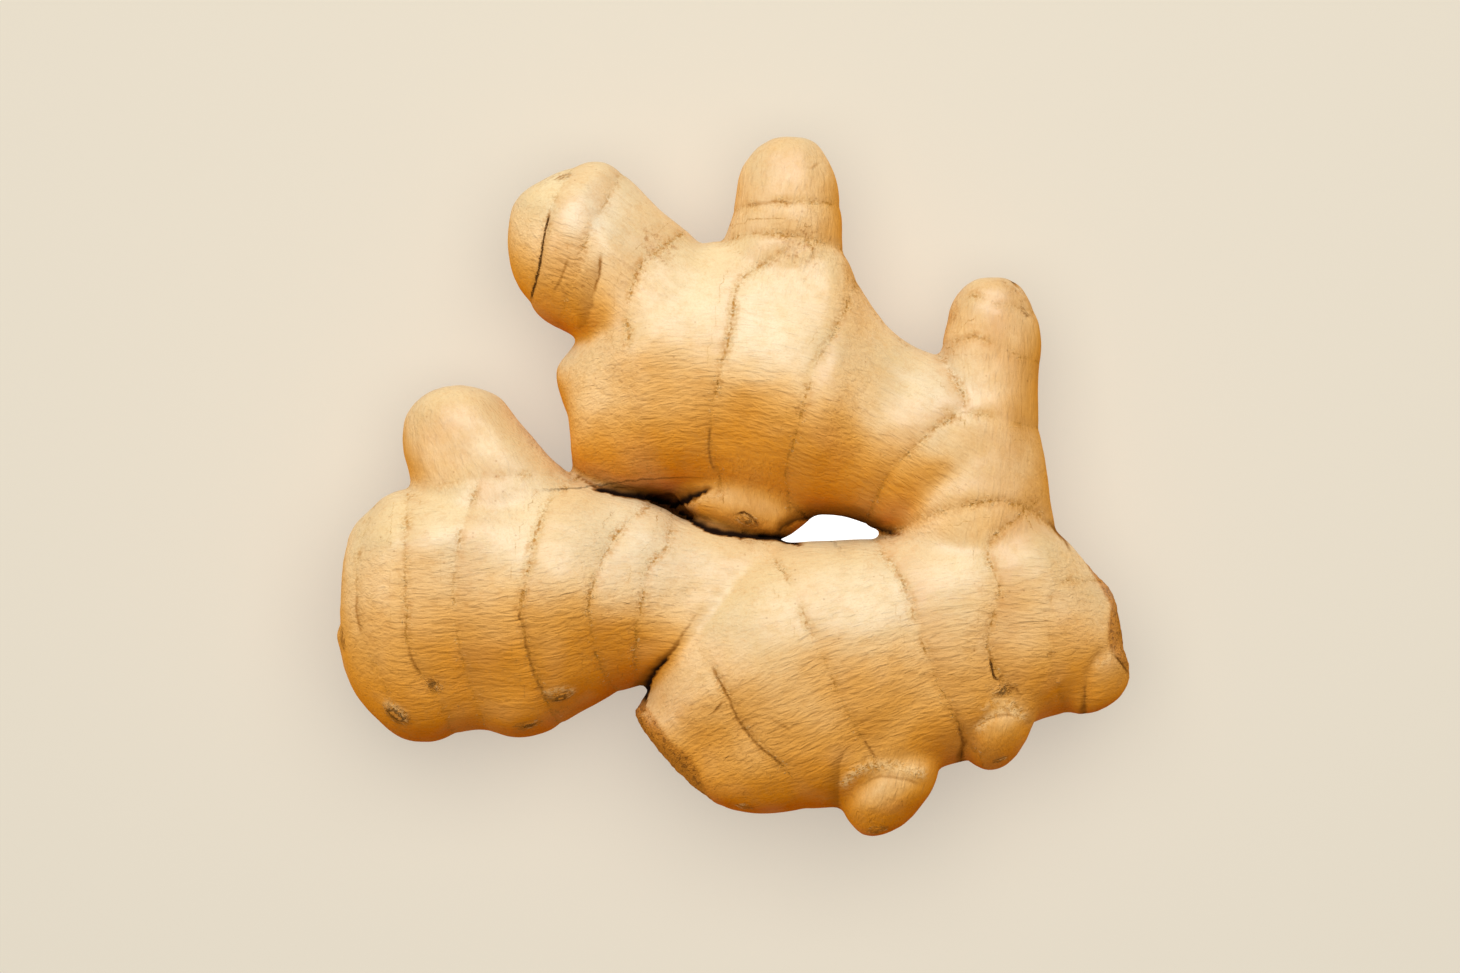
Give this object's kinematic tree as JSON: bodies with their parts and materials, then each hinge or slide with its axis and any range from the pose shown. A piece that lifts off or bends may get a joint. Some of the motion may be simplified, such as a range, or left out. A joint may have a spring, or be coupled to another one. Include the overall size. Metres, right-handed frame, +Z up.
{
  "type": "ginger root",
  "caption": "Whole fresh ginger root lying flat: a branched, lobed rhizome with short fingers, knobs, buds and ringed tan skin.",
  "frame": {"origin": "on the ground under the middle of the root's bounding box, as it lies flat", "axes": "+Z up, away from the ground; +X from the rounded left lobe to the bud at the right end; +Y towards the three upright-growing fingers, which is up in the plan view"},
  "size_m": [0.1509, 0.1329, 0.039],
  "materials": {
    "skin": "satin tan skin with darker growth rings and fine wrinkles along each branch"
  },
  "bodies": {
    "root": {"ginger_root": "skin"}
  },
  "joints": []
}
